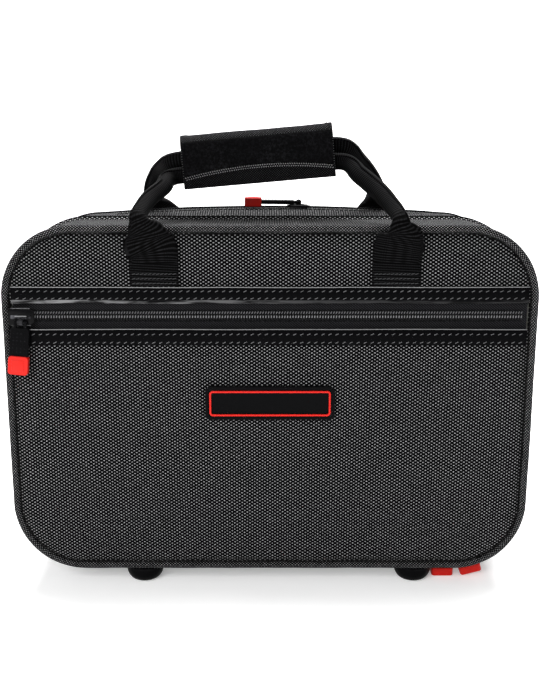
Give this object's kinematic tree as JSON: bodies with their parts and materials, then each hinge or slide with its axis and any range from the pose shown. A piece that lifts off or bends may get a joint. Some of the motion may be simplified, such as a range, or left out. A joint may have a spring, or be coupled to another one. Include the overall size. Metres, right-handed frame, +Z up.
{
  "type": "clarinet case",
  "caption": "Soft-sided rectangular clarinet case with a zipped hinged lid, front and rear zip pockets, fitted tray and two handles in a grip wrap.",
  "frame": {"origin": "on the floor, under the middle of the case as it stands on its feet", "axes": "+X to the right along the long edge as seen from the front pocket, +Y from the front pocket to the back, +Z up"},
  "size_m": [0.3656, 0.1368, 0.3273],
  "materials": {
    "woven_nylon": "charcoal ballistic nylon with a light dot weave",
    "piping": "woven nylon over a cord",
    "webbing": "black ribbed webbing",
    "black_vinyl": "glossy black vinyl, twin stitched",
    "zip_tape": "twilled zip tape",
    "zip_coil": "nylon coil",
    "slider_metal": "black enamelled zinc",
    "black_rubber": "moulded black rubber",
    "red_rubber": "moulded red rubber",
    "foam": "moulded bead foam",
    "plush": "black plush",
    "lining_cloth": "thin coated lining",
    "loop_pile": "loop pile of the grip closure",
    "screw_steel": "nickel plated"
  },
  "bodies": {
    "case_body": {"body_foam_shell": "foam", "instrument_tray": "plush", "back_panel": "woven_nylon", "rear_pocket_lining": "lining_cloth", "body_side_band": "woven_nylon", "back_piping": "piping", "rear_zip_tape": "zip_tape", "rear_zip_chain": "zip_coil", "body_zip_tape": "zip_tape", "body_zip_chain": "zip_coil", "body_hinge_cloth": "woven_nylon", "back_left_foot": "black_rubber", "back_left_foot_screw": "screw_steel", "back_right_foot": "black_rubber", "back_right_foot_screw": "screw_steel", "back_strap_anchor_left": "webbing", "back_strap_anchor_right": "webbing"},
    "lid": {"lid_foam_shell": "foam", "lid_lining": "plush", "front_upper_panel": "woven_nylon", "pocket_front_panel": "woven_nylon", "pocket_lining": "lining_cloth", "upper_trim_strip": "black_vinyl", "lower_trim_strip": "black_vinyl", "pocket_zip_tape": "zip_tape", "pocket_zip_chain": "zip_coil", "badge_plate": "black_rubber", "badge_frame": "red_rubber", "lid_side_band": "woven_nylon", "front_piping": "piping", "lid_zip_tape": "zip_tape", "lid_zip_chain": "zip_coil", "lid_hinge_cloth": "woven_nylon", "front_left_foot": "black_rubber", "front_left_foot_screw": "screw_steel", "front_right_foot": "black_rubber", "front_right_foot_screw": "screw_steel", "front_strap_anchor_left": "webbing", "front_strap_anchor_right": "webbing"},
    "pocket_slider": {"pocket_slider": "slider_metal"},
    "pocket_pull": {"pocket_pull": "black_rubber", "pocket_pull_tip": "red_rubber"},
    "main_slider_left": {"main_slider_left": "slider_metal"},
    "main_pull_left": {"main_pull_left": "black_rubber", "main_pull_tip_left": "red_rubber"},
    "main_slider_right": {"main_slider_right": "slider_metal"},
    "main_pull_right": {"main_pull_right": "black_rubber", "main_pull_tip_right": "red_rubber"},
    "rear_slider": {"rear_slider": "slider_metal"},
    "rear_pull": {"rear_pull": "black_rubber", "rear_pull_tip": "red_rubber"},
    "front_handle": {"front_handle_strap": "webbing"},
    "back_handle": {"back_handle_strap": "webbing", "grip_wrap": "woven_nylon", "grip_loop_panel": "loop_pile"},
    "grip_flap": {"grip_flap": "woven_nylon"}
  },
  "joints": [
    {"name": "lid_hinge", "type": "hinge", "parent": "case_body", "child": "lid", "pos_m": [0, 0.0045, 0.012], "axis": [1, 0, 0], "range_deg": [0, 110], "deforming": ["body_zip_tape", "body_zip_chain", "grip_wrap", "grip_loop_panel", "grip_flap"]},
    {"name": "pocket_slider_run", "type": "slide", "parent": "lid", "child": "pocket_slider", "axis": [1, 0, 0], "range_m": [0, 0.33]},
    {"name": "pocket_pull_swing", "type": "hinge", "parent": "pocket_slider", "child": "pocket_pull", "pos_m": [-0.169, -0.0621, 0.1948], "axis": [1, 0, 0], "range_deg": [-160, 0]},
    {"name": "main_slider_left_run", "type": "slide", "parent": "lid", "child": "main_slider_left", "axis": [1, 0, 0], "range_m": [-0.001, 0]},
    {"name": "main_pull_left_swing", "type": "hinge", "parent": "main_slider_left", "child": "main_pull_left", "pos_m": [0.1275, 0.001, 0.0084], "axis": [1, 0, 0], "range_deg": [0, 60]},
    {"name": "main_slider_right_turn", "type": "hinge", "parent": "lid", "child": "main_slider_right", "pos_m": [0.133, 0.0045, 0.062], "axis": [0, 1, 0], "range_deg": [-65, 0]},
    {"name": "main_pull_right_swing", "type": "hinge", "parent": "main_slider_right", "child": "main_pull_right", "pos_m": [0.14694, 0.001, 0.01024], "axis": [0.9656, 0, 0.26], "range_deg": [0, 60]},
    {"name": "rear_slider_run", "type": "hinge", "parent": "case_body", "child": "rear_slider", "pos_m": [0, 0.0445, -1.5064], "axis": [0, 1, 0], "range_deg": [-4.1, 2.6]},
    {"name": "rear_pull_flip", "type": "hinge", "parent": "rear_slider", "child": "rear_pull", "pos_m": [0.02204, 0.0445, 0.26846], "axis": [0, 1, 0], "range_deg": [0, 178]},
    {"name": "front_handle_swing", "type": "hinge", "parent": "lid", "child": "front_handle", "pos_m": [0, -0.0598, 0.2347], "axis": [1, 0, 0], "range_deg": [0, 150]},
    {"name": "back_handle_swing", "type": "hinge", "parent": "case_body", "child": "back_handle", "pos_m": [0, 0.0628, 0.2347], "axis": [1, 0, 0], "range_deg": [-150, 0]},
    {"name": "grip_flap_peel", "type": "hinge", "parent": "back_handle", "child": "grip_flap", "pos_m": [-0.00689, -0.0169, 0.28577], "axis": [0.9962, 0, 0.0872], "range_deg": [0, 150]}
  ]
}
